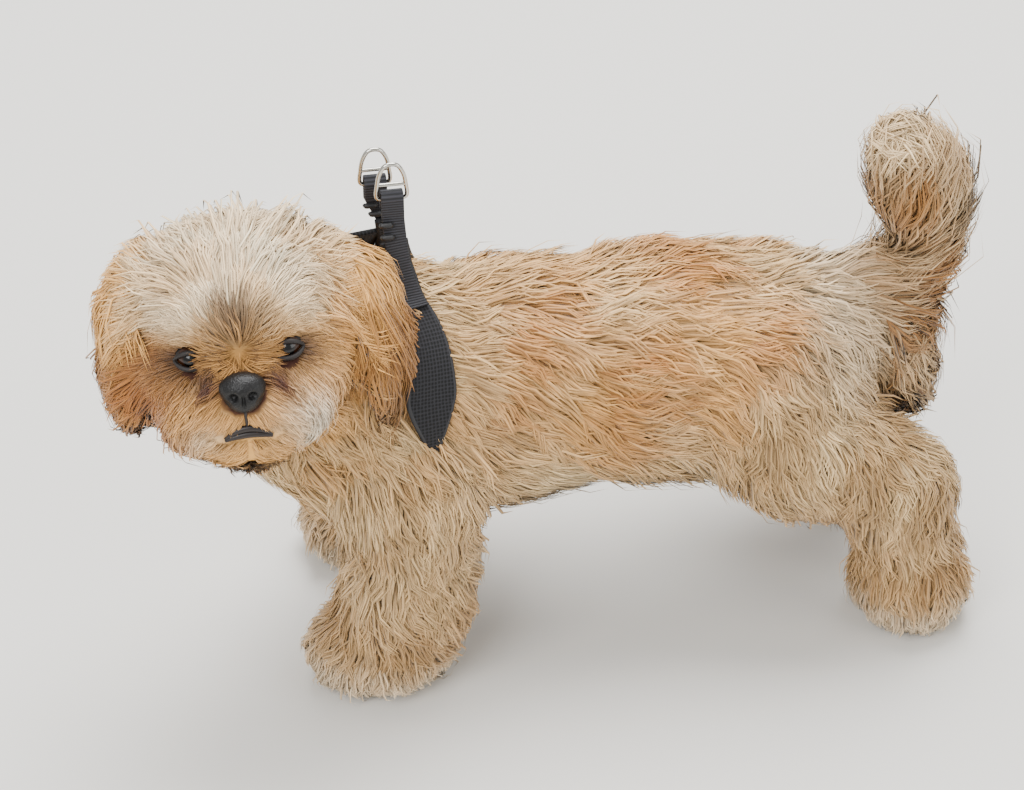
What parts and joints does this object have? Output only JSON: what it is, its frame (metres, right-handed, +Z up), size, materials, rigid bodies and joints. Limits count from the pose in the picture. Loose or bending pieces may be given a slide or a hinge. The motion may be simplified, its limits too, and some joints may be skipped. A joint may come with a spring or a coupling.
{
  "type": "shih tzu",
  "caption": "Life-size standing shih tzu in a clipped coat, head turned to its left, tail raised, wearing a padded step-in harness with two rings over the withers.",
  "frame": {"origin": "on the floor under the middle of the dog's bounding box", "axes": "+X from the chest to the tail, +Y to the dog's right, +Z up"},
  "size_m": [0.5038, 0.224, 0.3256],
  "materials": {
    "coat": "clipped wavy hair, cream with apricot markings",
    "ear_coat": "long hair, apricot going to dark brown at the tips",
    "eye": "wet, very dark brown",
    "nose": "pebbled, damp, charcoal",
    "mesh_padding": "black air mesh with a bound edge",
    "webbing": "woven nylon",
    "rubber": "matt",
    "steel": "polished wire"
  },
  "bodies": {
    "root": {"eye_left": "eye", "eye_right": "eye", "nose": "nose", "head": "coat", "ear_left": "ear_coat", "ear_right": "ear_coat", "harness_chest": "mesh_padding", "harness_side_left": "mesh_padding", "harness_neck_left": "mesh_padding", "harness_riser_left": "webbing", "harness_side_right": "mesh_padding", "harness_neck_right": "mesh_padding", "harness_riser_right": "webbing", "torso": "coat", "neck": "coat", "foreleg_left": "coat", "forepaw_left": "coat", "thigh_left": "coat", "hind_foot_left": "coat", "foreleg_right": "coat", "forepaw_right": "coat", "thigh_right": "coat", "hind_foot_right": "coat", "tail_base": "coat", "tail_plume": "coat", "ring_left": "steel", "keeper_upper_left": "rubber", "keeper_lower_left": "rubber", "ring_right": "steel", "keeper_upper_right": "rubber", "keeper_lower_right": "rubber"}
  },
  "joints": []
}
